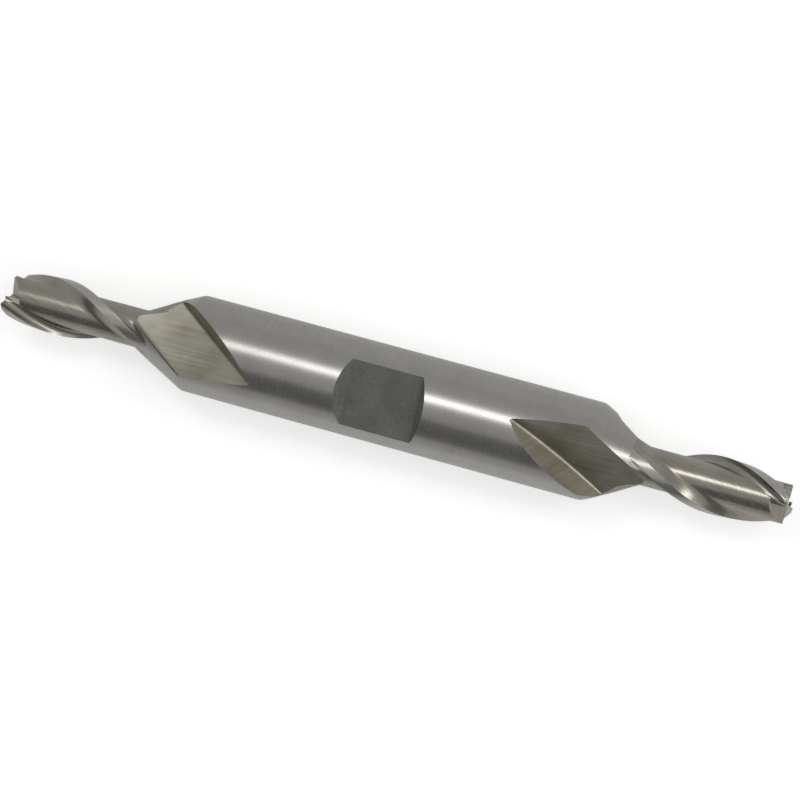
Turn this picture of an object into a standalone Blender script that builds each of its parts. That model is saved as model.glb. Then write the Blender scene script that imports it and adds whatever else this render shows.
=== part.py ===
"""Double-ended square end mill, two flutes at each end, with one set-screw flat on the shank.

Units are metres. The tool lies along X as it comes to rest, on its shank, with the flat
facing up (+Z). The origin is on the floor under the middle of the tool.

One bar of high-speed steel is turned to a blank, and everything else is ground into it:
the flutes, the prints that the grinding wheel leaves where it stops in the shank, the
end teeth and the flat. So the part is one blank, and each ground feature is a cutter.
"""

import math

import bmesh
import bpy
import numpy as np
from mathutils import Matrix, Vector

MM = 0.001

# Shank and overall size
OVERALL_LENGTH = 79.375 * MM
SHANK_DIAMETER = 9.525 * MM

# Flat for the set screw of the holder
FLAT_LENGTH = 7.112 * MM
FLAT_DEPTH = 1.27 * MM
FLAT_END_ANGLE = math.radians(45)

# Each end of the blank
CUTTING_DIAMETER = 5.556 * MM
CUTTING_LENGTH = 15.3 * MM
CONE_HALF_ANGLE = math.radians(26)

# Helical flutes
FLUTES = 2
HELIX_ANGLE = math.radians(30)
CORE_DIAMETER = 3.74 * MM
RAKE_ANGLE = math.radians(8)
FLUTE_FILLET = 0.6 * MM
MARGIN_WIDTH = 0.1 * MM
LAND_WIDTH = 1.12 * MM
LAND_RELIEF = math.radians(7)
HEEL_STEP = math.radians(9)
BACK_CLEARANCE = 0.04 * MM
RUNOUT_LIFT = math.radians(1.5)
PHASE_AT_TIP = math.radians(253.8)

# Print of the grinding wheel where the flute ends in the shank
WHEEL_RADIUS = 50.0 * MM
WHEEL_TILT = math.radians(35)
WHEEL_STOP = 14.9 * MM
WHEEL_TURN = math.radians(38)
WHEEL_RAKE_SIDE = 0.75 * MM
WHEEL_HEEL_SIDE = 4.1 * MM
WHEEL_CORNER = 0.25 * MM

# End teeth
GASH_ANGLE = math.radians(50)
GASH_PAST_CENTRE = 0.1 * MM
GASH_AHEAD = 0.06 * MM
END_DISH = math.radians(2)
END_RELIEF = math.radians(9)
END_RELIEF_WIDTH = 0.45 * MM
END_BACK_ANGLE = math.radians(32)

# How finely round and twisted faces are split
ROUND_STEPS = 64
TWIST_STEPS = 30
RUNOUT_STEPS = 5
WHEEL_STEPS = 22
BODY_STEPS = 12
CORNER_STEPS = 3

# How far a cutter runs out past the steel that it takes away, and over its neighbour
OUTSIDE = 0.6 * MM
OVERLAP = 0.05 * MM

SHANK_RADIUS = SHANK_DIAMETER / 2
CUTTING_RADIUS = CUTTING_DIAMETER / 2
CORE_RADIUS = CORE_DIAMETER / 2
HALF_LENGTH = OVERALL_LENGTH / 2
LEAD = math.pi * CUTTING_DIAMETER / math.tan(HELIX_ANGLE)


def clear_scene():
    """Start from an empty scene."""
    for old in list(bpy.data.objects):
        bpy.data.objects.remove(old, do_unlink=True)


def add_mesh(name, points, faces):
    """One object from points and faces, its normals turned outwards."""
    shape = bmesh.new()
    corners = [shape.verts.new(point) for point in points]
    for face in faces:
        shape.faces.new([corners[index] for index in face])
    bmesh.ops.recalc_face_normals(shape, faces=shape.faces)
    mesh = bpy.data.meshes.new(name)
    shape.to_mesh(mesh)
    shape.free()
    thing = bpy.data.objects.new(name, mesh)
    bpy.context.scene.collection.objects.link(thing)
    return thing


def loft(name, rings):
    """A closed solid through rings of equal length, with a flat face on each end."""
    count = len(rings[0])
    points = [point for ring in rings for point in ring]
    faces = [list(range(count))[::-1]]
    for row in range(len(rings) - 1):
        for step in range(count):
            after = (step + 1) % count
            base = row * count
            faces.append([base + step, base + after, base + count + after, base + count + step])
    faces.append([(len(rings) - 1) * count + step for step in range(count)])
    return add_mesh(name, points, faces)


def blend_corner(before, corner, after, reach):
    """A rounded corner of a profile: a parabola that touches both of its straight lines."""
    before, corner, after = Vector(before), Vector(corner), Vector(after)
    start = corner + (before - corner).normalized() * reach
    end = corner + (after - corner).normalized() * reach
    shares = np.linspace(0, 1, CORNER_STEPS + 1)
    return [tuple(start * (1 - t) ** 2 + corner * (2 * t * (1 - t)) + end * t**2) for t in shares]


def end_profile():
    """Distance from the middle and radius along one end of the blank, from cone to tip."""
    cone_foot = HALF_LENGTH - CUTTING_LENGTH
    cone_top = cone_foot - (SHANK_RADIUS - CUTTING_RADIUS) / math.tan(CONE_HALF_ANGLE)
    return [(cone_top, SHANK_RADIUS), (cone_foot, CUTTING_RADIUS), (HALF_LENGTH, CUTTING_RADIUS)]


def make_blank(steel):
    """The turned bar: a shank with a cone and a cutting diameter at each end."""
    right = end_profile()
    left = [(-along, radius) for along, radius in reversed(right)]
    outline = [(-HALF_LENGTH, 0.0)] + left + right + [(HALF_LENGTH, 0.0)]
    shape = bmesh.new()
    chain = [shape.verts.new((along, radius, 0.0)) for along, radius in outline]
    edges = [shape.edges.new(pair) for pair in zip(chain, chain[1:])]
    bmesh.ops.spin(
        shape,
        geom=chain + edges,
        cent=(0, 0, 0),
        axis=(1, 0, 0),
        angle=math.tau,
        steps=ROUND_STEPS,
        use_merge=True,
    )
    bmesh.ops.remove_doubles(shape, verts=shape.verts, dist=1e-7)
    bmesh.ops.recalc_face_normals(shape, faces=shape.faces)
    mesh = bpy.data.meshes.new("end_mill")
    shape.to_mesh(mesh)
    shape.free()
    blank = bpy.data.objects.new("end_mill", mesh)
    bpy.context.scene.collection.objects.link(blank)
    blank.data.materials.append(steel)
    return blank


def polar(radius, angle):
    """A point of a cross-section."""
    return (radius * math.cos(angle), radius * math.sin(angle))


def flute_section():
    """The space between two cutting edges, seen from the tip, with one edge at angle 0.

    It runs down the rake face, round the fillet at its foot, along the core, over the
    backed-off body of the next tooth and up the relief of its land. The rim closes it
    outside the steel.
    """
    pitch = math.tau / FLUTES
    down_rake = Vector((math.cos(RAKE_ANGLE), math.sin(RAKE_ANGLE)))
    off_rake = Vector((-down_rake.y, down_rake.x))
    edge = Vector((CUTTING_RADIUS, 0.0))
    offset = off_rake.dot(edge) + FLUTE_FILLET
    height = math.sqrt((CORE_RADIUS + FLUTE_FILLET) ** 2 - offset**2)
    centre = off_rake * offset + down_rake * height
    wall_foot = -off_rake * FLUTE_FILLET
    sweep = -wall_foot.angle_signed(centre.normalized() * CORE_RADIUS - centre)
    points = [tuple(edge + down_rake * OUTSIDE)]
    for share in np.linspace(0, 1, CORNER_STEPS + 2):
        points.append(tuple(centre + Matrix.Rotation(sweep * share, 2) @ wall_foot))
    land = LAND_WIDTH / CUTTING_RADIUS
    margin = MARGIN_WIDTH / CUTTING_RADIUS
    core_start = math.atan2(points[-1][1], points[-1][0])
    core_end = pitch - land - HEEL_STEP
    for share in np.linspace(0, 1, BODY_STEPS + 1)[1:]:
        angle = core_start + (core_end - core_start) * share
        points.append(polar(CORE_RADIUS + BACK_CLEARANCE * share, angle))
    drop = (LAND_WIDTH - MARGIN_WIDTH) * math.tan(LAND_RELIEF)
    rim_start = pitch - margin
    for share in (1.0, 0.5, 0.0):
        angle = rim_start - (land - margin) * share
        points.append(polar(CUTTING_RADIUS - drop * share, angle))
    rim_end = math.atan2(points[0][1], points[0][0])
    for share in np.linspace(0, 1, BODY_STEPS + 1)[:-1]:
        angle = rim_start + (rim_end - rim_start) * share
        points.append(polar(CUTTING_RADIUS + OUTSIDE, angle))
    return points


def place_end(right, along, across, up):
    """Put a point of an end at the right end, or half a turn round Z at the left one."""
    way = 1 if right else -1
    return (way * along, way * across, up)


def runout_radius(along):
    """How far out the flute's floor has risen. It leaves the steel where the cone starts."""
    past = HALF_LENGTH - along - CUTTING_LENGTH + OVERLAP
    return CUTTING_RADIUS + past * math.tan(CONE_HALF_ANGLE + RUNOUT_LIFT)


def make_flute(right, tooth):
    """One helical flute, lofted through its section from the cone's foot to past the tip."""
    section = flute_section()
    rise = (CUTTING_RADIUS - CORE_RADIUS) / math.tan(CONE_HALF_ANGLE + RUNOUT_LIFT)
    start = HALF_LENGTH - CUTTING_LENGTH - OUTSIDE / 2
    floor_start = HALF_LENGTH - CUTTING_LENGTH + OVERLAP + rise
    stations = list(np.linspace(start, floor_start, RUNOUT_STEPS + 1))
    stations += list(np.linspace(floor_start, HALF_LENGTH + OUTSIDE, TWIST_STEPS + 1)[1:])
    rings = []
    for along in stations:
        turn = PHASE_AT_TIP + tooth * math.tau / FLUTES + (along - HALF_LENGTH) * math.tau / LEAD
        cos, sin = math.cos(turn), math.sin(turn)
        ring = []
        for y, z in section:
            lift = max(1.0, runout_radius(along) / math.hypot(y, z))
            across = (y * cos - z * sin) * lift
            up = (y * sin + z * cos) * lift
            ring.append(place_end(right, along, across, up))
        rings.append(ring)
    side = "right" if right else "left"
    return loft(f"cutter_flute_{side}_{tooth}", rings)


def make_wheel(right, tooth):
    """The part of the grinding wheel that reaches the shank when it stops at the flute's end.

    The wheel's rim is a flat band. Its plane is tilted to the tool, and the deepest point of
    the rim lies on the core.
    """
    shallow = -SHANK_RADIUS - OUTSIDE
    rake_foot = (-WHEEL_RAKE_SIDE, 0.0)
    heel_foot = (WHEEL_HEEL_SIDE, 0.0)
    rake_top = (-WHEEL_RAKE_SIDE, shallow)
    heel_top = (WHEEL_HEEL_SIDE, shallow)
    rim = [rake_top]
    rim += blend_corner(rake_top, rake_foot, heel_foot, WHEEL_CORNER)
    rim += blend_corner(rake_foot, heel_foot, heel_top, WHEEL_CORNER)
    rim += [heel_top]
    stop = HALF_LENGTH - WHEEL_STOP
    turn = PHASE_AT_TIP + tooth * math.tau / FLUTES - WHEEL_STOP * math.tau / LEAD + WHEEL_TURN
    reach = math.acos(1 - (SHANK_RADIUS - CORE_RADIUS + OUTSIDE) / WHEEL_RADIUS)
    rings = []
    for sweep in np.linspace(-reach, reach, WHEEL_STEPS + 1):
        ring = []
        for across, high in rim:
            travel = (WHEEL_RADIUS + high) * math.sin(sweep)
            depth = CORE_RADIUS + WHEEL_RADIUS - (WHEEL_RADIUS + high) * math.cos(sweep)
            along = stop + travel * math.cos(WHEEL_TILT) - across * math.sin(WHEEL_TILT)
            lateral = travel * math.sin(WHEEL_TILT) + across * math.cos(WHEEL_TILT)
            y = depth * math.cos(turn) - lateral * math.sin(turn)
            z = depth * math.sin(turn) + lateral * math.cos(turn)
            ring.append(place_end(right, along, y, z))
        rings.append(ring)
    side = "right" if right else "left"
    return loft(f"cutter_wheel_{side}_{tooth}", rings)


def tooth_frame(right, tooth):
    """Directions at the tip for one tooth: along its edge, ahead of it and out of the end."""
    turn = PHASE_AT_TIP + tooth * math.tau / FLUTES

    def put(edge, ahead, back):
        y = edge * math.cos(turn) - ahead * math.sin(turn)
        z = edge * math.sin(turn) + ahead * math.cos(turn)
        return place_end(right, HALF_LENGTH - back, y, z)

    return put


def make_gash(right, tooth):
    """The notch ground ahead of an end tooth, which frees its edge to the centre.

    Its wall stands a little ahead of the centre, so the two end teeth share a thin web.
    """
    put = tooth_frame(right, tooth)
    out = CUTTING_RADIUS + OUTSIDE
    back = (out + GASH_PAST_CENTRE) / math.tan(GASH_ANGLE)
    rings = []
    for ahead in (GASH_AHEAD, out):
        rings.append(
            [
                put(-GASH_PAST_CENTRE, ahead, 0.0),
                put(out, ahead, back),
                put(out, ahead, -OUTSIDE),
                put(-GASH_PAST_CENTRE, ahead, -OUTSIDE),
            ]
        )
    side = "right" if right else "left"
    return loft(f"cutter_gash_{side}_{tooth}", rings)


def make_end_relief(right, tooth):
    """The two slopes behind an end tooth's edge, with the edge itself dished to the centre."""
    put = tooth_frame(right, tooth)
    out = CUTTING_RADIUS + OUTSIDE
    first = END_RELIEF_WIDTH * math.tan(END_RELIEF)
    second = first + (out - END_RELIEF_WIDTH) * math.tan(END_BACK_ANGLE)
    rings = []
    for edge in (-OVERLAP, out):
        dish = (CUTTING_RADIUS - edge) * math.tan(END_DISH)
        rings.append(
            [
                put(edge, OVERLAP, dish - OVERLAP * math.tan(END_RELIEF)),
                put(edge, -END_RELIEF_WIDTH, dish + first),
                put(edge, -out, dish + second),
                put(edge, -out, -OUTSIDE),
                put(edge, OVERLAP, -OUTSIDE),
            ]
        )
    side = "right" if right else "left"
    return loft(f"cutter_relief_{side}_{tooth}", rings)


def make_flat():
    """The set-screw flat: a level face whose two ends run up out of the shank."""
    floor = SHANK_RADIUS - FLAT_DEPTH
    top = SHANK_RADIUS + OUTSIDE
    ramp = (top - floor) / math.tan(FLAT_END_ANGLE)
    half = FLAT_LENGTH / 2
    rings = []
    for across in (-top, top):
        rings.append(
            [
                (-half, across, floor),
                (half, across, floor),
                (half + ramp, across, top),
                (-half - ramp, across, top),
            ]
        )
    return loft("cutter_flat", rings)


def cut(body, cutter):
    """Take a cutter out of the body. The cutter itself is left out of the part."""
    cutter.hide_render = True
    cutter.display_type = "WIRE"
    difference = body.modifiers.new(cutter.name, "BOOLEAN")
    difference.operation = "DIFFERENCE"
    difference.solver = "EXACT"
    difference.object = cutter


def steel_material():
    """Ground high-speed steel."""
    steel = bpy.data.materials.new("ground_tool_steel")
    steel.use_nodes = True
    shader = steel.node_tree.nodes["Principled BSDF"]
    shader.inputs["Base Color"].default_value = (0.46, 0.45, 0.43, 1)
    shader.inputs["Metallic"].default_value = 1.0
    shader.inputs["Roughness"].default_value = 0.3
    return steel


def main():
    """Grind the flat, the wheel prints, the flutes and the end teeth into the blank."""
    clear_scene()
    body = make_blank(steel_material())
    cutters = [make_flat()]
    for right in (True, False):
        for tooth in range(FLUTES):
            cutters.append(make_wheel(right, tooth))
            cutters.append(make_flute(right, tooth))
        for tooth in range(FLUTES):
            cutters.append(make_gash(right, tooth))
            cutters.append(make_end_relief(right, tooth))
    for cutter in cutters:
        cut(body, cutter)
    body.data.shade_smooth()
    body.data.set_sharp_from_angle(angle=math.radians(30))
    lift = Matrix.Translation((0.0, 0.0, SHANK_RADIUS))
    for thing in [body] + cutters:
        thing.matrix_world = lift


main()
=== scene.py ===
# %% [markdown]
# # A double-ended square end mill
# This cutter is one bar of high-speed steel. It is turned to a blank and then everything is
# ground into it: the helical flutes, the prints that the wheel leaves where it stops in the
# shank, the end teeth, and the flat for the holder's set screw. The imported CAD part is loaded
# first. It stays hidden under the finer surface that this lesson works out.

# %% Load the frame
import math

import bpy
import numpy as np
from mathutils import Matrix, Vector


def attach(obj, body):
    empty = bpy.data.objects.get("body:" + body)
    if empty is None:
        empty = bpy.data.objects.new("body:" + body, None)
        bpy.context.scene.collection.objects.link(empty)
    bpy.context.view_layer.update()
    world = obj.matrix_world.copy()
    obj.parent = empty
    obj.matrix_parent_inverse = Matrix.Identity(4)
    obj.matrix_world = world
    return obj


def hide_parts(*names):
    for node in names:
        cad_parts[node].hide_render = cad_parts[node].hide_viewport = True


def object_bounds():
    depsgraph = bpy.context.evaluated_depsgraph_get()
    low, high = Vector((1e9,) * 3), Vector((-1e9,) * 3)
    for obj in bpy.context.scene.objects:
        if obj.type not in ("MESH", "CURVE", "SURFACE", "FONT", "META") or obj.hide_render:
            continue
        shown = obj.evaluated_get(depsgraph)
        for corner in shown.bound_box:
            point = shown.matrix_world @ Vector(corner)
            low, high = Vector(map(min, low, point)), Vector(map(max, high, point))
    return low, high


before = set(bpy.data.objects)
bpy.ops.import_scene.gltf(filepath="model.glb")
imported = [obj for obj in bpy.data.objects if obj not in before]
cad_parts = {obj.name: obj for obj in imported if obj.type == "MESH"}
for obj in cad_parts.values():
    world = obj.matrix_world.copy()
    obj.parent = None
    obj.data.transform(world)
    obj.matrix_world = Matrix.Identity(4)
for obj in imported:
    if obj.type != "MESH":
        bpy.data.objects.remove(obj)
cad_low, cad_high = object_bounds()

print("CAD box, mm:", [round(1000 * side, 2) for side in cad_high - cad_low])

# %% [markdown]
# ## Sizes
# The overall length and the shank come from the frame, and so does the tool's axis, which lies
# one shank radius above the floor. The rest are the sizes that the part's source grinds to, in
# metres. Angles are in radians.

# %% Driving sizes
MM = 0.001
HALF_LENGTH = (cad_high.x - cad_low.x) / 2
SHANK_RADIUS = (cad_high.z - cad_low.z) / 2
CUTTING_RADIUS = 5.556 / 2 * MM
CUTTING_LENGTH = 15.3 * MM
CONE_HALF_ANGLE = math.radians(26)
CONE_BLEND = 0.12 * MM
FLAT_LENGTH = 7.112 * MM
FLAT_DEPTH = 1.27 * MM
FLAT_END_SLOPE = math.tan(math.radians(54))
print(f"shank {2000 * SHANK_RADIUS:.3f} mm, teeth {2000 * CUTTING_RADIUS:.3f} mm")

# %% [markdown]
# ## The blank
# A lathe turns the bar to a shank with a cone and a smaller diameter at each end. Its radius is
# a function of one number, the distance back from the tip. The two lines are joined by a smooth
# minimum, which rounds the corner a little as a tool nose does.


# %% Radius of the blank
def smooth_min(first, second, blend):
    """The smaller of two values. Where they are closer than the blend, a parabola joins them."""
    near = np.clip(blend - np.abs(first - second), 0, None)
    return np.minimum(first, second) - near**2 / (4 * blend)


def cone_radius(back):
    """Cutting radius plus the rise of the cone's straight line, also inside the flutes."""
    return CUTTING_RADIUS + (back - CUTTING_LENGTH) * math.tan(CONE_HALF_ANGLE)


def blank_radius(back):
    """The cone's line, but not below the cutting radius and not above the shank's radius."""
    return smooth_min(np.maximum(cone_radius(back), CUTTING_RADIUS), SHANK_RADIUS, CONE_BLEND)


cone_length = (SHANK_RADIUS - CUTTING_RADIUS) / math.tan(CONE_HALF_ANGLE)
print(f"the cone is {1000 * cone_length:.2f} mm long")

# %% [markdown]
# ## The flute's section
# Cut square across, a flute runs down the rake face, round a fillet at its foot, along the core
# and over the backed-off body of the next tooth. A rounded heel then leads up to that tooth's
# narrow land, which is relieved behind its cutting edge. Each point of the section becomes one
# line of the surface that follows the helix, so every edge of a tooth is a clean line.

# %% Section sizes
FLUTES = 2
PITCH = math.tau / FLUTES
CORE_RADIUS = 1.87 * MM
RAKE_ANGLE = math.radians(8)
FLUTE_FILLET = 0.6 * MM
MARGIN_WIDTH = 0.1 * MM
LAND_WIDTH = 1.0 * MM
LAND_RELIEF = math.radians(7)
HEEL_STEP = math.radians(28)
BACK_CLEARANCE = 0.04 * MM
WALL_POINTS, FILLET_POINTS, BODY_POINTS = 8, 12, 40
STEP_POINTS, LAND_POINTS, MARGIN_POINTS = 22, 20, 6


# %% Points of the section
def flute_section():
    """Radius and angle of the section's points, from one cutting edge to the next.

    The rake face is a straight line that leans back by the rake angle. The fillet is an arc
    that touches it and the core. From there on the radius is a straight function of the angle,
    piece by piece, but the heel climbs with the square of the way along it.
    """
    down = np.array([math.cos(RAKE_ANGLE), math.sin(RAKE_ANGLE)])
    off = np.array([-down[1], down[0]])
    edge = np.array([CUTTING_RADIUS, 0.0])
    offset = off @ edge + FLUTE_FILLET
    centre = off * offset + down * math.sqrt((CORE_RADIUS + FLUTE_FILLET) ** 2 - offset**2)
    wall_foot = centre - off * FLUTE_FILLET
    share = np.linspace(0, 1, WALL_POINTS, endpoint=False)[:, None]
    wall = edge + (wall_foot - edge) * share
    start = math.atan2(*(wall_foot - centre)[::-1])
    end = math.atan2(*(-centre)[::-1])
    sweep = (end - start + math.pi) % math.tau - math.pi
    turn = start + sweep * np.linspace(0, 1, FILLET_POINTS)
    fillet = centre + FLUTE_FILLET * np.stack([np.cos(turn), np.sin(turn)], axis=1)
    near = np.concatenate([wall, fillet])
    angle = np.arctan2(near[:, 1], near[:, 0])
    land = LAND_WIDTH / CUTTING_RADIUS
    margin = MARGIN_WIDTH / CUTTING_RADIUS
    land_foot = CUTTING_RADIUS - (LAND_WIDTH - MARGIN_WIDTH) * math.tan(LAND_RELIEF)
    corners = [angle[-1], PITCH - land - HEEL_STEP, PITCH - land, PITCH - margin, PITCH]
    heel_foot = CORE_RADIUS + BACK_CLEARANCE
    heights = [CORE_RADIUS, heel_foot, land_foot, CUTTING_RADIUS, CUTTING_RADIUS]
    counts = [BODY_POINTS, STEP_POINTS, LAND_POINTS, MARGIN_POINTS]
    knots = np.concatenate([[0], np.cumsum(counts)])
    places = np.arange(1, knots[-1])
    far_angle = np.interp(places, knots, corners)
    far_radius = np.interp(places, knots, heights)
    on_heel = (places > knots[1]) & (places < knots[2])
    climb = (places - knots[1]) / STEP_POINTS
    heel = heel_foot + (land_foot - heel_foot) * climb**2
    far_radius = np.where(on_heel, heel, far_radius)
    radius = np.concatenate([np.hypot(near[:, 0], near[:, 1]), far_radius])
    return radius, np.concatenate([angle, far_angle])


section_radius, section_angle = flute_section()
SECTION_POINTS = len(section_radius)
land_points = section_angle > PITCH - LAND_WIDTH / CUTTING_RADIUS - 1e-6
print(SECTION_POINTS, "points, of which", int(land_points.sum()), "on the land")

# %% [markdown]
# ## The helix
# The section turns with the distance from the tip, once in a lead. In the shank nothing is left
# to twist, so there the lines of the surface ease out straight and spread evenly. That changes
# no shape. It only keeps the mesh's faces regular where the wheel's print is cut.

# %% Helix sizes
HELIX_ANGLE = math.radians(30)
LEAD = math.tau * CUTTING_RADIUS / math.tan(HELIX_ANGLE)
PHASE_AT_TIP = math.radians(253.8)
EASE_OUT = 2.0 * MM
UNDERCUT_FADE = 2.0 * MM
LEAST_SPREAD = math.radians(0.02)


# %% Angle of every line
def smooth_step(value):
    """0 below 0, 1 above 1, and three times the square less twice the cube between."""
    value = np.clip(value, 0, 1)
    return value**2 * (3 - 2 * value)


def edge_turn(back):
    """Angle of the first cutting edge: straight with distance, and a tanh past the flutes."""
    past = np.clip(back - CUTTING_LENGTH, 0, None)
    wound = np.minimum(back, CUTTING_LENGTH) + EASE_OUT * np.tanh(past / EASE_OUT)
    return PHASE_AT_TIP - wound * math.tau / LEAD


def line_angles(back):
    """The edge's angle plus each line's own angle from the edge.

    The rake face's lines lean under the edge. They come out from under it before the cone, with
    the least spread between them, and past the cone's foot all the lines take an even spacing.
    """
    lean = np.tile(section_angle, FLUTES) + np.repeat(np.arange(FLUTES) * PITCH, SECTION_POINTS)
    order = np.arange(lean.size) / SECTION_POINTS
    upright = np.maximum.accumulate(lean) + LEAST_SPREAD * order
    even = order * PITCH
    out = smooth_step((back - CUTTING_LENGTH + 2 * UNDERCUT_FADE) / UNDERCUT_FADE)
    spread = smooth_step((back - CUTTING_LENGTH) / (2 * EASE_OUT))
    own = lean + (upright - lean) * out
    return edge_turn(back) + own + (even - own) * spread


print(f"lead {1000 * LEAD:.2f} mm")

# %% [markdown]
# ## The wheel's print
# The grinding wheel is far larger than the tool, and its rim is a flat band. Where it stops, it
# leaves its own shape in the core, the cone and the shank: a floor that is a shallow arc along
# the wheel's travel and flat across it, with a wall where the band ends. Seen along the floor's
# normal, that is a height over the plane, so the surface is pushed down to it.

# %% Wheel sizes
WHEEL_RADIUS = 50.0 * MM
WHEEL_TILT = math.radians(35)
WHEEL_STOP = 14.9 * MM
WHEEL_TURN = math.radians(38)
WHEEL_RAKE_SIDE = 0.75 * MM
WHEEL_HEEL_SIDE = 4.1 * MM
WALL_SLOPE = math.tan(math.radians(77))
WALL_BLEND = 0.06 * MM


# %% Height of the print
def wheel_travel(back, lateral):
    """Distances along and across the wheel's travel from its deepest point on the tool."""
    ahead = WHEEL_STOP - back
    travel = ahead * math.cos(WHEEL_TILT) + lateral * math.sin(WHEEL_TILT)
    across = lateral * math.cos(WHEEL_TILT) - ahead * math.sin(WHEEL_TILT)
    return travel, across


def print_height(back, lateral):
    """Core radius, plus the sagitta of the rim at that travel, plus a steep wall past its sides.

    The wall is half the sum of the distance past the side and its length with the blend, which
    bends smoothly from nought to the distance itself.
    """
    travel, across = wheel_travel(back, lateral)
    travel = np.clip(travel, -WHEEL_RADIUS / 2, WHEEL_RADIUS / 2)
    floor = CORE_RADIUS + WHEEL_RADIUS - np.sqrt(WHEEL_RADIUS**2 - travel**2)
    beyond = np.maximum(across - WHEEL_HEEL_SIDE, -WHEEL_RAKE_SIDE - across)
    return floor + (beyond + np.hypot(beyond, WALL_BLEND)) / 2 * WALL_SLOPE


def in_print_frame(across_y, across_z, turn):
    """Turn the section so that the print's floor faces up: height over it and distance beside."""
    cos, sin = math.cos(turn), math.sin(turn)
    return across_y * cos + across_z * sin, across_z * cos - across_y * sin


def snap_to_edge(points, turn):
    """Move each point that is next to the print's edge onto it, along the grid.

    The excess is the height over the print. Between two neighbours where it changes sign, it is
    nought at the share first / (first - second) of the way, and the nearer one moves there.
    """
    height, lateral = in_print_frame(*points[1:], turn)
    excess = height - print_height(points[0], lateral)
    best = np.full(excess.shape, 0.5)
    moved = points.copy()
    for axis, step in ((0, 1), (0, -1), (1, 1), (1, -1)):
        beside = np.roll(excess, step, axis=axis)
        crossing = (excess * beside < 0) & (height > 0)
        share = np.where(crossing, excess / np.where(crossing, excess - beside, 1), 1)
        nearer = share < best
        best = np.where(nearer, share, best)
        towards = np.roll(points, step, axis=axis + 1) - points
        moved = np.where(nearer, points + towards * share, moved)
    return moved, best < 0.5


def press_print(points, turn):
    """Push the points that lie above the print straight down to it, along its floor's normal."""
    points, on_edge = snap_to_edge(points, turn)
    back = points[0]
    height, lateral = in_print_frame(*points[1:], turn)
    limit = print_height(back, lateral)
    pressed = (height > limit) & (height > 0)
    height = np.where(pressed, limit, height)
    cos, sin = math.cos(turn), math.sin(turn)
    across_y, across_z = height * cos - lateral * sin, height * sin + lateral * cos
    return np.stack([back, across_y, across_z]), pressed & ~on_edge, on_edge, lateral


stop_turn = PHASE_AT_TIP - WHEEL_STOP * math.tau / LEAD + WHEEL_TURN
print(f"the first print's floor faces {math.degrees(stop_turn) % 360:.1f} degrees")

# %% [markdown]
# ## The end teeth
# At the tip a notch, the gash, is ground ahead of each end tooth, and the tooth is relieved
# behind its edge in two slopes. So the end is a depth below the tip over the section's plane,
# made of four quarters: a gash and a relief for each tooth.

# %% End tooth sizes
GASH_SLOPE = math.tan(math.radians(40))
GASH_PAST_CENTRE = 0.1 * MM
END_DISH = math.tan(math.radians(2))
END_RELIEF = math.tan(math.radians(9))
END_RELIEF_WIDTH = 0.45 * MM
END_BACK_SLOPE = math.tan(math.radians(32))


# %% Depth of the end
def end_depth(across_y, across_z):
    """Depth of the end face below the tip, by which quarter round the edges a point is in.

    Ahead of an edge it is the gash's slope along the edge. Behind it, it is the dish along the
    edge plus the first slope, and the back slope once that is past its width.
    """
    cos, sin = math.cos(PHASE_AT_TIP), math.sin(PHASE_AT_TIP)
    along = across_y * cos + across_z * sin
    ahead = across_z * cos - across_y * sin
    own_side = np.where(along >= 0, 1.0, -1.0)
    along, ahead = along * own_side, ahead * own_side
    gash = (along + GASH_PAST_CENTRE) * GASH_SLOPE
    behind = np.clip(-ahead, 0, None)
    dish = (CUTTING_RADIUS - along) * END_DISH
    first_slope = np.minimum(behind, END_RELIEF_WIDTH) * END_RELIEF
    back_slope = np.clip(behind - END_RELIEF_WIDTH, 0, None) * END_BACK_SLOPE
    return np.where(ahead > 0, gash, dish + first_slope + back_slope), ahead > 0


gash_depth = (CUTTING_RADIUS + GASH_PAST_CENTRE) * GASH_SLOPE
print(f"the gash is {1000 * gash_depth:.2f} mm deep at the edge")

# %% [markdown]
# ## One end of the tool
# The end's rows are stations back from the tip, close together where the print's edges run.
# Near the tip each line starts where it meets the end face, which a few rounds of "measure the
# depth there and move to it" find. The rows then take up that start over a short way. Every
# point carries the number of its finish, or EDGE where it lies on the rim of a print. A hair is
# the slack in comparing places.

# %% Rows of an end
JOINT = 28.0 * MM
PRINT_FROM = 12.6 * MM
TIP_REACH = 4.5 * MM
TIP_ROUNDS = 8
TOOTH_ROWS, PRINT_ROWS, CAP_RINGS = 62, 136, 10
stations = np.concatenate(
    [
        np.linspace(0, PRINT_FROM, TOOTH_ROWS, endpoint=False),
        np.linspace(PRINT_FROM, JOINT, PRINT_ROWS),
    ]
)
COLUMNS = FLUTES * SECTION_POINTS
SHANK, FLUTE, LAND, PRINT, FLAT, EDGE = range(6)
HAIR = 0.01 * MM


# %% Run-out sizes
RUNOUT_FOOT = 15.2 * MM
RUNOUT_SLOPE = math.tan(math.radians(38))
RUNOUT_HEEL, RUNOUT_RAKE = math.radians(66), math.radians(43)
RUNOUT_HEEL_LEAN, RUNOUT_RAKE_LEAN = 3.1 * MM, 4.8 * MM


# %% Points of an end
def runout_radius(back, angle):
    """Core radius, plus the rise from the run-out's foot, whose place depends on the angle.

    The angle counts from the print's floor. The foot is the nearest to the tip of three lines:
    one square across, one that falls back on the heel side and one that does on the rake side.
    """
    beside = (angle - stop_turn + PITCH / 3) % PITCH - PITCH / 3
    heel_foot = RUNOUT_FOOT - (beside - RUNOUT_HEEL) * RUNOUT_HEEL_LEAN
    rake_foot = RUNOUT_FOOT + (beside - RUNOUT_RAKE) * RUNOUT_RAKE_LEAN
    foot = np.minimum(RUNOUT_FOOT, np.minimum(heel_foot, rake_foot))
    return CORE_RADIUS + (back - foot) * RUNOUT_SLOPE


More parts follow.
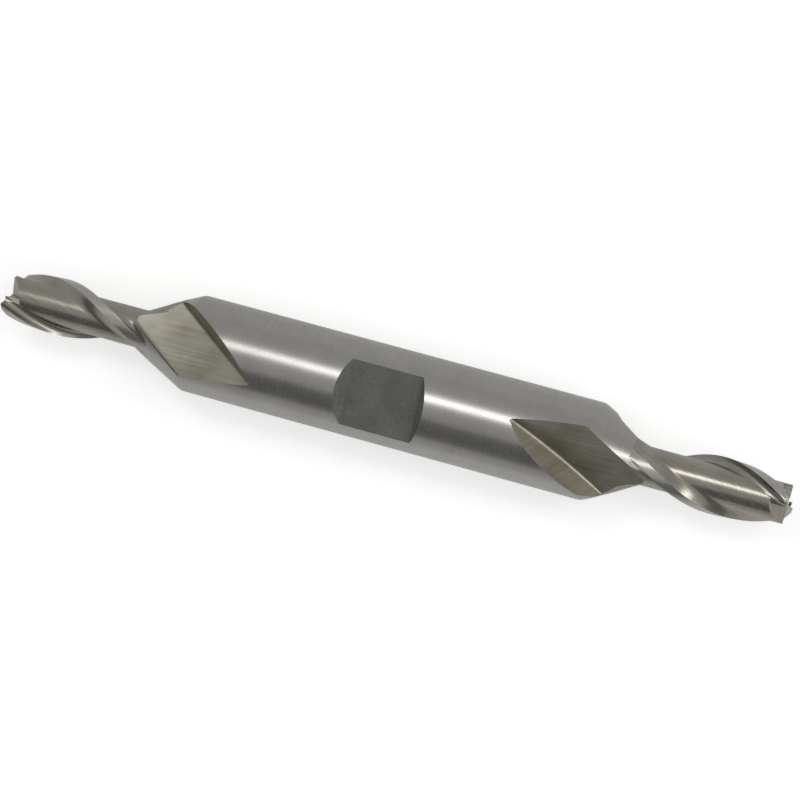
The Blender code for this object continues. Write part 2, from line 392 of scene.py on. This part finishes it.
def tooth_surface(back):
    """The blank less the flute, whose floor rises with the run-out or the cone's line."""
    angle = line_angles(back)
    rise = np.minimum(cone_radius(back), runout_radius(back, angle))
    floor = np.maximum(np.tile(section_radius, FLUTES), rise)
    radius = np.minimum(blank_radius(back), floor)
    return radius * np.cos(angle), radius * np.sin(angle)


def end_surface():
    """Distance back, two cross coordinates, finish and grinding directions of one end."""
    start = np.zeros(COLUMNS)
    for _ in range(TIP_ROUNDS):
        start, _ = end_depth(*tooth_surface(start))
    back = stations[:, None] + start * np.clip(1 - stations[:, None] / TIP_REACH, 0, None)
    across_y, across_z = tooth_surface(back)
    on_land = np.broadcast_to(np.tile(land_points, FLUTES), back.shape)
    before_cone = back < CUTTING_LENGTH
    in_flute = np.hypot(across_y, across_z) < blank_radius(back) - HAIR / 2
    finish = np.where(on_land & before_cone, LAND, np.where(in_flute, FLUTE, SHANK))
    beside = np.arange(COLUMNS) * PITCH / SECTION_POINTS * CUTTING_RADIUS
    beside = np.broadcast_to(beside, back.shape)
    grind = np.stack([back / math.cos(HELIX_ANGLE), beside], axis=-1)
    points = np.stack([back, across_y, across_z])
    edge = np.zeros(back.shape, dtype=bool)
    for flute in range(FLUTES):
        points, pressed, on_edge, lateral = press_print(points, stop_turn + flute * PITCH)
        finish = np.where(pressed, PRINT, finish)
        lengthwise = np.stack([points[0], lateral], axis=-1)
        grind = np.where((pressed | on_edge)[..., None], lengthwise, grind)
        edge = edge | on_edge
    return *points, np.where(edge, EDGE, finish), grind


def end_cap(across_y, across_z):
    """Rings that shrink from the first row to the centre, each point at its own end depth."""
    share = np.linspace(0, 1, CAP_RINGS + 2)[1:-1, None]
    ring_y, ring_z = across_y * share, across_z * share
    back, ahead = end_depth(ring_y, ring_z)
    return back, ring_y, ring_z, np.where(ahead, FLUTE, LAND), np.stack([ring_y, ring_z], axis=-1)


end_rows = end_surface()
cap_rows = end_cap(end_rows[1][0], end_rows[2][0])
own_end = [np.concatenate([cap, rows]) for cap, rows in zip(cap_rows, end_rows)]
print("one end has", own_end[0].shape, "rows and columns")

# %% [markdown]
# ## The shank and its flat
# The flat is ground across the middle of the shank, and its ends rise steeply to the surface.
# Two lines of the mesh are moved onto its long edges, and two rows follow the curves where the
# ramps come out, so its outline is exact.

# %% Lines and rows of the flat
FLAT_FLOOR = SHANK_RADIUS - FLAT_DEPTH
flat_edge = math.acos(FLAT_FLOOR / SHANK_RADIUS)
flat_columns = round(COLUMNS * 2 * flat_edge / math.tau)
EASING_ROWS, FLOOR_ROWS = 8, 7
LEAST_RISE = 0.05 * MM
flat_angle = np.interp(
    np.arange(COLUMNS),
    [0, flat_columns, COLUMNS],
    [math.pi / 2 - flat_edge, math.pi / 2 + flat_edge, math.pi / 2 - flat_edge + math.tau],
)
rim_height = SHANK_RADIUS * np.sin(flat_angle)
ramp_rise = np.clip(rim_height - FLAT_FLOOR, LEAST_RISE, None)
ramp_end = FLAT_LENGTH / 2 + ramp_rise / FLAT_END_SLOPE
print(f"the flat is {2000 * SHANK_RADIUS * math.sin(flat_edge):.2f} mm wide")


# %% Points of the middle
def roll_to(angles):
    """How far to roll an end's columns so that its first line meets the flat's first line."""
    gap = (angles - flat_angle[0] + math.pi) % math.tau - math.pi
    return int(np.argmin(np.abs(gap)))


def middle_surface(right_angle, left_angle):
    """Rows from the right joint to the left one. Their heights stop at the flat and its ramps."""
    easing = np.linspace(0, 1, EASING_ROWS + 1)[1:, None]
    joint = HALF_LENGTH - JOINT
    rows = [joint + (ramp_end - joint) * easing]
    turns = [right_angle + (flat_angle - right_angle) * smooth_step(easing)]
    floor_rows = FLAT_LENGTH / 2 * np.linspace(1, -1, FLOOR_ROWS)[:, None] * np.ones(COLUMNS)
    rows += [floor_rows, -ramp_end[None, :]]
    turns += [np.broadcast_to(flat_angle, (FLOOR_ROWS + 1, COLUMNS))]
    rows += [-(joint + (ramp_end - joint) * easing[:-1][::-1])]
    turns += [left_angle + (flat_angle - left_angle) * smooth_step(easing[:-1][::-1])]
    along, angle = np.concatenate(rows), np.concatenate(turns)
    limit = FLAT_FLOOR + np.clip(np.abs(along) - FLAT_LENGTH / 2, 0, None) * FLAT_END_SLOPE
    across_y = SHANK_RADIUS * np.cos(angle)
    across_z = np.minimum(SHANK_RADIUS * np.sin(angle), limit)
    return along, across_y, across_z


# %% [markdown]
# ## The whole surface
# The left end is the right one turned half a turn about the vertical, so its lines run the other
# way round and are reversed. Both ends are rolled until their lines meet the flat's, and all the
# rows are stacked into one grid from tip to tip.

# %% Stack the rows
back, own_y, own_z, own_finish, own_grind = own_end
right_roll = roll_to(np.arctan2(own_z[-1], own_y[-1]))
left_roll = roll_to(np.arctan2(own_z[-1], -own_y[-1])[::-1])


def right_end(values):
    """The end's own columns, rolled to the flat's first line."""
    return np.roll(values, -right_roll, axis=1)


def left_end(values):
    """The same rows from the joint to the tip, with their columns reversed and rolled."""
    return np.roll(values[::-1, ::-1], -left_roll, axis=1)


def joint_angles(across_y, across_z):
    """Angles of a joint's points, growing from the flat's first line."""
    angle = np.unwrap(np.arctan2(across_z, across_y))
    return angle + math.tau * np.round((flat_angle[0] - angle[0]) / math.tau)


right_angles = joint_angles(right_end(own_y)[-1], right_end(own_z)[-1])
left_angles = joint_angles(-left_end(own_y)[0], left_end(own_z)[0])
middle_x, middle_y, middle_z = middle_surface(right_angles, left_angles)
grid_x = np.concatenate([HALF_LENGTH - right_end(back), middle_x, left_end(back) - HALF_LENGTH])
grid_y = np.concatenate([right_end(own_y), middle_y, -left_end(own_y)])
grid_z = np.concatenate([right_end(own_z), middle_z, left_end(own_z)]) + SHANK_RADIUS
on_flat = middle_z < SHANK_RADIUS * np.sin(np.arctan2(middle_z, middle_y)) - HAIR / 10
middle_finish = np.where(on_flat, FLAT, SHANK)
finish = np.concatenate([right_end(own_finish), middle_finish, left_end(own_finish)])
ROWS = len(grid_x)
print("grid of", ROWS, "rows and", COLUMNS, "columns")

# %% [markdown]
# ## Grinding directions
# Each finish has fine lines in its own direction: round the shank, along the flutes, lengthwise
# in the prints, and across the flat. The UV map carries them, with U along the lines and V
# across them, in millimetres. A face takes the map of its own finish.


# %% Faces and their UV map
def grid_faces():
    """Two triangles for each cell, split along the print's edge where it crosses the cell.

    The corners go round so that the faces point outwards. A cell is split from its first corner
    to its third, but where its second and fourth lie on an edge, it is split between those.
    """
    row = np.arange(ROWS - 1)[:, None] * COLUMNS
    column = np.arange(COLUMNS)[None, :]
    after = (column + 1) % COLUMNS
    corners = [row + column, row + COLUMNS + column, row + COLUMNS + after, row + after]
    cells = np.stack(np.broadcast_arrays(*corners), axis=-1).reshape(-1, 4)
    on_edge = finish.ravel()[cells] == EDGE
    other_way = on_edge[:, 1] & on_edge[:, 3] & ~(on_edge[:, 0] & on_edge[:, 2])
    cells = np.where(other_way[:, None], np.roll(cells, -1, axis=1), cells)
    return np.stack([cells[:, [0, 1, 2]], cells[:, [0, 2, 3]]], axis=1).reshape(-1, 3)


faces = grid_faces()
corner_finish = finish.ravel()[faces]
face_finish = np.sort(corner_finish, axis=1)[:, 0]
face_finish = np.where((corner_finish == PRINT).any(axis=1), PRINT, face_finish)
face_finish = np.where((corner_finish == EDGE).all(axis=1), PRINT, face_finish)
face_height = (grid_z.ravel() - SHANK_RADIUS)[faces].mean(axis=1)
face_along = np.abs(grid_x.ravel()[faces].mean(axis=1))
on_middle = face_along < HALF_LENGTH - JOINT + HAIR
low_middle = on_middle & (corner_finish == FLAT).any(axis=1)
ramp_height = FLAT_FLOOR + np.clip(face_along - FLAT_LENGTH / 2, 0, None) * FLAT_END_SLOPE
over_floor = face_height > FLAT_FLOOR - HAIR
flat_face = low_middle & over_floor & (face_height < ramp_height + HAIR)
face_finish = np.where(flat_face, FLAT, np.where(low_middle, SHANK, face_finish))

around = np.unwrap(np.arctan2(grid_z - SHANK_RADIUS, grid_y), axis=1) * SHANK_RADIUS
shank_map = np.stack([around, grid_x], axis=-1)
middle_grind = np.stack([middle_y, middle_x], axis=-1)
ground_map = np.concatenate([right_end(own_grind), middle_grind, left_end(own_grind)])
round_lines = (face_finish == SHANK)[:, None, None]
face_map = np.where(round_lines, shank_map.reshape(-1, 2)[faces], ground_map.reshape(-1, 2)[faces])
print(len(faces), "faces, by finish", np.bincount(face_finish).tolist())

# %% [markdown]
# ## Mesh
# Two poles close the centres of the ends, each with a fan of triangles. Edges sharper than a
# set angle stay crisp, and everything else is shaded smooth.


# %% Build the mesh
CREASE = math.radians(30)


def soften_prints(mesh):
    """Take the crease off every edge that has an end inside a print, where all bends are soft."""
    ends = np.zeros(2 * len(mesh.edges), dtype=np.int32)
    mesh.edges.foreach_get("vertices", ends)
    inside = np.append(finish.ravel() == PRINT, [False, False])[ends].reshape(-1, 2).any(axis=1)
    sharp = np.zeros(len(mesh.edges), dtype=bool)
    mesh.attributes["sharp_edge"].data.foreach_get("value", sharp)
    mesh.attributes["sharp_edge"].data.foreach_set("value", sharp & ~inside)


def build_tool():
    """Points, faces, finishes and UV map of the grid, with a pole at each end, in one mesh."""
    points = np.stack([grid_x, grid_y, grid_z], axis=-1).reshape(-1, 3)
    depth = GASH_PAST_CENTRE * GASH_SLOPE
    poles = [[HALF_LENGTH - depth, 0, SHANK_RADIUS], [depth - HALF_LENGTH, 0, SHANK_RADIUS]]
    points = np.concatenate([points, poles])
    first = np.arange(COLUMNS)
    after = (first + 1) % COLUMNS
    last_row = (ROWS - 1) * COLUMNS
    right_fan = np.stack([np.full(COLUMNS, len(points) - 2), first, after], axis=1)
    left_pole = np.full(COLUMNS, len(points) - 1)
    left_fan = np.stack([left_pole, last_row + after, last_row + first], axis=1)
    mesh = bpy.data.meshes.new("end_mill_ground")
    mesh.from_pydata(points.tolist(), [], faces.tolist() + right_fan.tolist() + left_fan.tolist())
    fan_finish = np.full(2 * COLUMNS, LAND)
    finish_index = np.concatenate([face_finish, fan_finish]).astype(np.int32)
    mesh.polygons.foreach_set("material_index", finish_index)
    fan_map = np.zeros((6 * COLUMNS, 2))
    grinding = mesh.uv_layers.new(name="grinding")
    loop_map = np.concatenate([face_map.reshape(-1, 2), fan_map]) / MM
    grinding.data.foreach_set("uv", loop_map.ravel())
    mesh.shade_smooth()
    mesh.set_sharp_from_angle(angle=CREASE)
    soften_prints(mesh)
    mesh.update()
    return mesh


tool = bpy.data.objects.new("end_mill_ground", build_tool())
bpy.context.scene.collection.objects.link(tool)
triangles = sum(len(face.vertices) - 2 for face in tool.data.polygons)
print("the tool has", triangles, "triangles")

# %% [markdown]
# ## Grinding lines
# Ground steel is covered in fine scratches that all run one way, crossed by slow changes in
# shine. One shader group makes both from the UV map. It stretches a noise along the lines, and
# every finish places the group with its own fineness.


# %% Shader group for ground steel
def make_grinding_group():
    """Noise stretched along U gives the scratches. A second, slower noise gives the cloud."""
    group = bpy.data.node_groups.new("grinding_lines", "ShaderNodeTree")
    group.interface.new_socket("Lines per mm", in_out="INPUT", socket_type="NodeSocketFloat")
    group.interface.new_socket("Line length mm", in_out="INPUT", socket_type="NodeSocketFloat")
    group.interface.new_socket("Lines", in_out="OUTPUT", socket_type="NodeSocketFloat")
    group.interface.new_socket("Cloud", in_out="OUTPUT", socket_type="NodeSocketFloat")
    nodes, links = group.nodes, group.links
    inlet = nodes.new("NodeGroupInput")
    outlet = nodes.new("NodeGroupOutput")
    lay = nodes.new("ShaderNodeUVMap")
    lay.uv_map = "grinding"
    split = nodes.new("ShaderNodeSeparateXYZ")
    shorten = nodes.new("ShaderNodeMath")
    shorten.operation = "DIVIDE"
    tighten = nodes.new("ShaderNodeMath")
    tighten.operation = "MULTIPLY"
    join = nodes.new("ShaderNodeCombineXYZ")
    links.new(lay.outputs["UV"], split.inputs["Vector"])
    links.new(split.outputs["X"], shorten.inputs[0])
    links.new(inlet.outputs["Line length mm"], shorten.inputs[1])
    links.new(split.outputs["Y"], tighten.inputs[0])
    links.new(inlet.outputs["Lines per mm"], tighten.inputs[1])
    links.new(shorten.outputs["Value"], join.inputs["X"])
    links.new(tighten.outputs["Value"], join.inputs["Y"])
    scratches = nodes.new("ShaderNodeTexNoise")
    scratches.inputs["Scale"].default_value = 1.0
    scratches.inputs["Detail"].default_value = 3.0
    cloud = nodes.new("ShaderNodeTexNoise")
    cloud.inputs["Scale"].default_value = 0.35
    cloud.inputs["Detail"].default_value = 2.0
    links.new(join.outputs["Vector"], scratches.inputs["Vector"])
    links.new(lay.outputs["UV"], cloud.inputs["Vector"])
    links.new(scratches.outputs["Fac"], outlet.inputs["Lines"])
    links.new(cloud.outputs["Fac"], outlet.inputs["Cloud"])
    return group


grinding_group = make_grinding_group()
print("group", grinding_group.name, "with", len(grinding_group.nodes), "nodes")

# %% [markdown]
# ## Finishes
# All the finishes are the same bare steel. The shank is ground fine and shines. The flutes and
# prints are ground coarser and have a warm tint, the lands are bright, and the flat keeps a
# dark, dull skin. Each takes its scratches from the group, as roughness, tint and a bump.


# %% Materials
def steel(name, light, dark, smooth, rough, lines_per_mm, line_length, bump, metal=1.0):
    """Base colour between two tints by cloud plus scratches, roughness and bump by scratches."""
    material = bpy.data.materials.new(name)
    material.use_nodes = True
    nodes, links = material.node_tree.nodes, material.node_tree.links
    shader = nodes["Principled BSDF"]
    shader.inputs["Metallic"].default_value = metal
    finish_lines = nodes.new("ShaderNodeGroup")
    finish_lines.node_tree = grinding_group
    finish_lines.inputs["Lines per mm"].default_value = lines_per_mm
    finish_lines.inputs["Line length mm"].default_value = line_length
    blend = nodes.new("ShaderNodeMath")
    blend.operation = "ADD"
    spread = nodes.new("ShaderNodeMapRange")
    spread.inputs["From Min"].default_value = 0.7
    spread.inputs["From Max"].default_value = 1.3
    tint = nodes.new("ShaderNodeMix")
    tint.data_type = "RGBA"
    tint.inputs["A"].default_value = (*dark, 1)
    tint.inputs["B"].default_value = (*light, 1)
    shine = nodes.new("ShaderNodeMapRange")
    shine.inputs["To Min"].default_value = smooth
    shine.inputs["To Max"].default_value = rough
    relief = nodes.new("ShaderNodeBump")
    relief.inputs["Strength"].default_value = bump
    relief.inputs["Distance"].default_value = 0.01 * MM
    links.new(finish_lines.outputs["Cloud"], blend.inputs[0])
    links.new(finish_lines.outputs["Lines"], blend.inputs[1])
    links.new(blend.outputs["Value"], spread.inputs["Value"])
    links.new(spread.outputs["Result"], tint.inputs["Factor"])
    links.new(tint.outputs["Result"], shader.inputs["Base Color"])
    links.new(finish_lines.outputs["Lines"], shine.inputs["Value"])
    links.new(shine.outputs["Result"], shader.inputs["Roughness"])
    links.new(finish_lines.outputs["Lines"], relief.inputs["Height"])
    links.new(relief.outputs["Normal"], shader.inputs["Normal"])
    return material


finishes = [
    steel("ground_shank", (0.42, 0.41, 0.39), (0.37, 0.36, 0.34), 0.24, 0.32, 9.0, 6.0, 0.1),
    steel("ground_flute", (0.38, 0.36, 0.32), (0.30, 0.28, 0.24), 0.20, 0.34, 6.0, 5.0, 0.35),
    steel("bright_land", (0.50, 0.49, 0.465), (0.43, 0.42, 0.395), 0.20, 0.34, 8.0, 5.0, 0.2),
    steel("wheel_print", (0.42, 0.40, 0.345), (0.28, 0.26, 0.21), 0.28, 0.44, 5.0, 8.0, 0.6),
    steel("dark_flat", (0.19, 0.19, 0.185), (0.12, 0.12, 0.115), 0.55, 0.7, 4.0, 0.3, 0.8, 0.5),
]
for material in finishes:
    tool.data.materials.append(material)
print("finishes:", [material.name for material in finishes])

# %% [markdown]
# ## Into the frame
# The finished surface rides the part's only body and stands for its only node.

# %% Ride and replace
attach(tool, "root")
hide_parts("end_mill")
print("the surface stands for end_mill")

# %% [markdown]
# ## Camera
# The camera's place was solved from the photograph's outline: how the shank's width grows to
# the right, where the flat's corners lie and where the two tips end. It looks at the tool from
# above, turned a little towards the right end, and rolled so that the tool slopes down.

# %% Camera at the photograph's view
TURN_TO_RIGHT_END = 0.248276
LEAN_TO_BACK = 0.1819
ROLL = 0.220436
CAMERA_DISTANCE = 419.587 * MM
FOCAL_PIXELS = 4389.61
FRAME_PIXELS = 800
AIM_SHIFT = (8.46 / FRAME_PIXELS, -3.25 / FRAME_PIXELS)

towards = Vector(
    (
        math.sin(TURN_TO_RIGHT_END),
        math.cos(TURN_TO_RIGHT_END) * math.sin(LEAN_TO_BACK),
        math.cos(TURN_TO_RIGHT_END) * math.cos(LEAN_TO_BACK),
    )
)
level = Vector((0, 1, 0)).cross(towards).normalized()
upright = towards.cross(level)
right = level * math.cos(ROLL) + upright * math.sin(ROLL)
up = upright * math.cos(ROLL) - level * math.sin(ROLL)
tool_centre = Vector((0, 0, SHANK_RADIUS))

camera_data = bpy.data.cameras.new("camera")
camera_data.sensor_width = 36.0
camera_data.lens = FOCAL_PIXELS / FRAME_PIXELS * camera_data.sensor_width
camera_data.shift_x, camera_data.shift_y = AIM_SHIFT
camera_data.clip_start = 0.01
camera_data.clip_end = 20.0
camera = bpy.data.objects.new("camera", camera_data)
camera.matrix_world = Matrix.Translation(tool_centre + towards * CAMERA_DISTANCE) @ Matrix(
    (right, up, towards)
).transposed().to_4x4()
bpy.context.scene.collection.objects.link(camera)
bpy.context.scene.camera = camera
print(f"lens {camera_data.lens:.1f} mm at {1000 * CAMERA_DISTANCE:.0f} mm")

# %% [markdown]
# ## Floor and light
# Bare steel shows what stands round it, so a metal part is lit with lamps and cards. A lamp
# behind the camera draws the white stripe along the shank. A square lamp beside the right end
# lights the walls that face it, and a small one above that end lights the rim of its cone and,
# off the floor of the print, the print's wall. A dark card in front draws the dark band below
# the stripe, and the pale floor and the grey room fill the rest.

# %% Floor
FLOOR_HALF = 4.0
CAMERA_GLOW = 0.52
BACK_GLOW = 0.01
FRONT_GLOW = 0.20


def card(name, centre, facing, length, width):
    """A flat rectangle whose long side follows the tool and whose face points at a place."""
    normal = (facing - centre).normalized()
    side = normal.cross(Vector((1, 0, 0))).normalized()
    along = side.cross(normal)
    mesh = bpy.data.meshes.new(name)
    signs = ((-1, -1), (1, -1), (1, 1), (-1, 1))
    corners = [centre + along * (u * length / 2) + side * (v * width / 2) for u, v in signs]
    mesh.from_pydata(corners, [], [(0, 1, 2, 3)])
    thing = bpy.data.objects.new(name, mesh)
    bpy.context.scene.collection.objects.link(thing)
    return thing


def floor_material():
    """A pale matt floor that glows white for the camera and through glass, and dimly in metal.

    The glow that reflections see grows towards the front, where the studio is brighter.
    """
    material = bpy.data.materials.new("pale_floor")
    material.use_nodes = True
    nodes, links = material.node_tree.nodes, material.node_tree.links
    shader = nodes["Principled BSDF"]
    shader.inputs["Base Color"].default_value = (0.8, 0.8, 0.8, 1)
    shader.inputs["Roughness"].default_value = 0.9
    shader.inputs["Specular IOR Level"].default_value = 0.0
    shader.inputs["Emission Color"].default_value = (1, 1, 1, 1)
    path = nodes.new("ShaderNodeLightPath")
    seen = nodes.new("ShaderNodeMath")
    seen.operation = "MAXIMUM"
    place = nodes.new("ShaderNodeTexCoord")
    split = nodes.new("ShaderNodeSeparateXYZ")
    front = nodes.new("ShaderNodeMapRange")
    front.inputs["From Min"].default_value = 0.02
    front.inputs["From Max"].default_value = -0.03
    front.inputs["To Min"].default_value = BACK_GLOW
    front.inputs["To Max"].default_value = FRONT_GLOW
    mirrored = nodes.new("ShaderNodeMath")
    mirrored.operation = "MULTIPLY"
    glow = nodes.new("ShaderNodeMath")
    glow.operation = "MULTIPLY_ADD"
    glow.inputs[1].default_value = CAMERA_GLOW
    links.new(place.outputs["Object"], split.inputs["Vector"])
    links.new(split.outputs["Y"], front.inputs["Value"])
    links.new(path.outputs["Is Glossy Ray"], mirrored.inputs[0])
    links.new(front.outputs["Result"], mirrored.inputs[1])
    links.new(path.outputs["Is Camera Ray"], seen.inputs[0])
    links.new(path.outputs["Is Transmission Ray"], seen.inputs[1])
    links.new(seen.outputs["Value"], glow.inputs[0])
    links.new(mirrored.outputs["Value"], glow.inputs[2])
    links.new(glow.outputs["Value"], shader.inputs["Emission Strength"])
    return material


floor = card("floor", Vector((0, 0, 0)), Vector((0, 0, 1)), 2 * FLOOR_HALF, 2 * FLOOR_HALF)
floor.data.materials.append(floor_material())
print("floor", floor.dimensions[:])

# %% [markdown]
# Each lamp has a length and a width in metres and a power in watts. The stripe's lamp and the
# card stand at an angle round the tool from the camera's direction.

# %% Lamps, card and room
STRIPE_ANGLE, STRIPE_DISTANCE, STRIPE_TO_LEFT = math.radians(18), 0.42, 0.07
STRIPE_LAMP = (0.14, 0.09, 0.20)
SIDE_LAMP = (0.4, 0.4, 0.8)
CONE_LAMP = (0.14, 0.12, 0.2)
CARD_ANGLE, CARD_DISTANCE = math.radians(-53), 0.30
CARD_LENGTH, CARD_WIDTH = 1.2, 0.26
CARD_GREY = (0.3, 0.3, 0.3, 1)
ROOM_GREY = (0.52, 0.52, 0.515, 1)


def round_the_tool(angle, distance):
    """A place at an angle round the tool's axis from the camera's direction, towards its top."""
    across = Vector((0, towards.y, towards.z)).normalized()
    turned = Matrix.Rotation(-angle, 3, "X") @ across
    return tool_centre + turned * distance


def area_lamp(name, centre, length, width, power):
    """A rectangular lamp whose long side follows the tool and which faces it."""
    lamp = bpy.data.lights.new(name, "AREA")
    lamp.shape = "RECTANGLE"
    lamp.size, lamp.size_y = length, width
    lamp.energy = power
    thing = bpy.data.objects.new(name, lamp)
    back_z = (centre - tool_centre).normalized()
    along_x = Vector((1, 0, 0))
    along_y = back_z.cross(along_x).normalized()
    along_x = along_y.cross(back_z)
    turned = Matrix((along_x, along_y, back_z)).transposed().to_4x4()
    thing.matrix_world = Matrix.Translation(centre) @ turned
    bpy.context.scene.collection.objects.link(thing)


stripe_place = round_the_tool(STRIPE_ANGLE, STRIPE_DISTANCE) - Vector((STRIPE_TO_LEFT, 0, 0))
area_lamp("stripe_lamp", stripe_place, *STRIPE_LAMP)
area_lamp("side_lamp", tool_centre + Vector((0.5, -0.12, 0.28)), *SIDE_LAMP)
area_lamp("cone_lamp", tool_centre + Vector((0.25, 0.15, 0.3)), *CONE_LAMP)

card_place = round_the_tool(CARD_ANGLE, CARD_DISTANCE)
dark_card = card("dark_card", card_place, tool_centre, CARD_LENGTH, CARD_WIDTH)
dark = bpy.data.materials.new("dark_card")
dark.use_nodes = True
dark_shader = dark.node_tree.nodes["Principled BSDF"]
dark_shader.inputs["Base Color"].default_value = CARD_GREY
dark_shader.inputs["Roughness"].default_value = 1.0
dark_card.data.materials.append(dark)
dark_card.visible_camera = False
dark_card.visible_shadow = False

room = bpy.data.worlds.new("grey_room")
room.use_nodes = True
room.node_tree.nodes["Background"].inputs["Color"].default_value = ROOM_GREY
bpy.context.scene.world = room
bpy.context.scene.view_settings.view_transform = "Standard"
print("stripe lamp at", [round(value, 3) for value in stripe_place])
